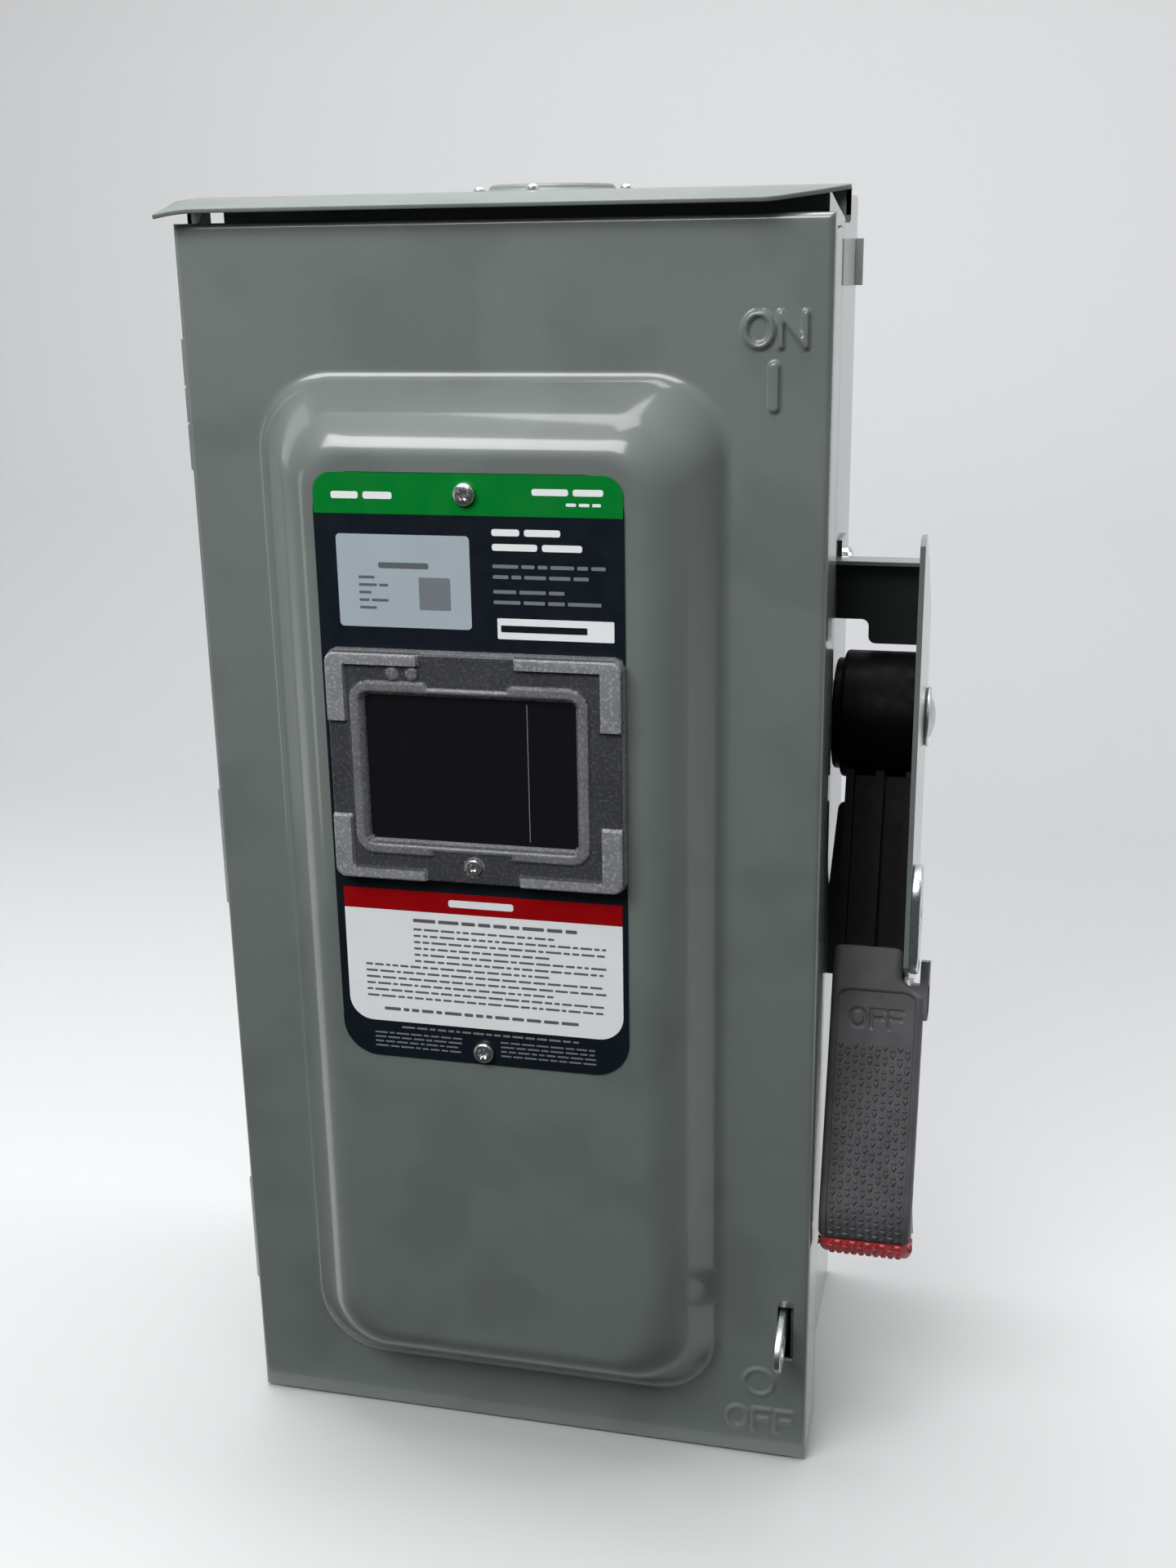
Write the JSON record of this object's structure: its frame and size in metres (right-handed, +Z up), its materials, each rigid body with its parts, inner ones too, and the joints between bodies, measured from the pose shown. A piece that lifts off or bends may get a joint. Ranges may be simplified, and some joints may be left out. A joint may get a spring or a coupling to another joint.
{
  "type": "ac disconnect box",
  "caption": "Wall-mounted rainproof safety switch in a painted steel box, with an embossed hinged door, viewing window, drip hood and an external side handle.",
  "frame": {"origin": "centre of the four wall holes, on the outer face of the back wall", "axes": "+X towards the handle side, -Y out of the door (front), +Z up"},
  "size_m": [0.2579, 0.1575, 0.4567],
  "materials": {
    "body_paint": "semi-gloss grey-green enamel",
    "hood_paint": "semi-gloss grey-green enamel",
    "zinc_plate": "bright zinc plated",
    "spring_steel": "oiled spring steel",
    "grid_steel": "plain steel plate",
    "rubber": "matt",
    "nylon": "natural nylon",
    "black_plastic": "fine moulded texture",
    "red_plastic": "fine moulded texture",
    "label": "satin print on plastic film",
    "clear_plastic": "frosted clear polycarbonate",
    "dark_pane": "dark glossy film on polycarbonate",
    "moulding": "glass-filled polyester",
    "crossbar_red": "glass-filled polyester",
    "copper": "bare copper, lightly brushed",
    "lug_aluminium": "tin-plated aluminium",
    "ground_green": "green dyed zinc"
  },
  "bodies": {
    "enclosure": {"enclosure_box": "body_paint", "drip_hood": "hood_paint", "hub_gasket": "rubber", "hub_closing_plate": "hood_paint", "closing_plate_screws": "zinc_plate", "side_clip": "body_paint", "hinge_leaves": "body_paint", "hinge_pins": "zinc_plate", "handle_bracket": "body_paint", "bracket_screws": "zinc_plate", "pivot_rivet": "zinc_plate", "lock_plate": "zinc_plate", "shaft_bushing": "nylon", "latch_bracket": "zinc_plate", "latch_pin": "zinc_plate", "latch_spring": "spring_steel", "knockout_slugs": "body_paint", "switch_base": "moulding", "base_screws": "zinc_plate", "line_lugs": "lug_aluminium", "line_lug_screws": "zinc_plate", "line_jaws": "copper", "load_lugs": "lug_aluminium", "load_lug_screws": "zinc_plate", "load_hinge_clips": "copper", "arc_grids": "grid_steel", "line_shield": "clear_plastic", "shield_screws": "zinc_plate", "mechanism_frame": "zinc_plate", "mechanism_screws": "zinc_plate", "ground_lug": "lug_aluminium", "ground_lug_screws": "ground_green", "interlock_pin": "zinc_plate"},
    "door": {"door_panel": "body_paint", "label_plate": "label", "label_screws": "zinc_plate", "window_bezel": "clear_plastic", "window_pane": "dark_pane", "window_gasket": "rubber", "window_screw": "zinc_plate", "interlock_catch": "zinc_plate"},
    "handle": {"handle_hub": "black_plastic", "handle_grip": "black_plastic", "handle_tip": "red_plastic", "drive_shaft": "zinc_plate", "drive_lever": "zinc_plate", "drive_spring": "spring_steel"},
    "rotor": {"rotor_crossbar": "crossbar_red", "switch_blades": "copper", "blade_pivots": "zinc_plate", "rotor_crank": "zinc_plate"},
    "interlock": {"interlock_lever": "zinc_plate"},
    "latch": {"latch_tab": "zinc_plate"}
  },
  "joints": [
    {"name": "door_hinge", "type": "hinge", "parent": "enclosure", "child": "door", "pos_m": [-0.1105, -0.118, 0], "axis": [0, 0, -1], "range_deg": [0, 120]},
    {"name": "handle_pivot", "type": "hinge", "parent": "enclosure", "child": "handle", "pos_m": [0, -0.05, 0.043], "axis": [-1, 0, 0], "range_deg": [0, 125]},
    {"name": "rotor_turn", "type": "hinge", "parent": "enclosure", "child": "rotor", "pos_m": [0, -0.06, -0.014], "axis": [-1, 0, 0], "range_deg": [0, 55]},
    {"name": "interlock_turn", "type": "hinge", "parent": "enclosure", "child": "interlock", "pos_m": [0.083, -0.072, 0.095], "axis": [1, 0, 0], "range_deg": [0, 20]},
    {"name": "latch_pivot", "type": "hinge", "parent": "enclosure", "child": "latch", "pos_m": [0.0989, -0.098, -0.168], "axis": [1, 0, 0], "range_deg": [0, 8], "stiffness_Nm_per_rad": 0.05, "springref_deg": -17.19}
  ],
  "couplings": [
    {"joint": "rotor_turn", "follows": "handle_pivot", "ratio": 0.44},
    {"joint": "interlock_turn", "follows": "handle_pivot", "ratio": 0.16}
  ]
}
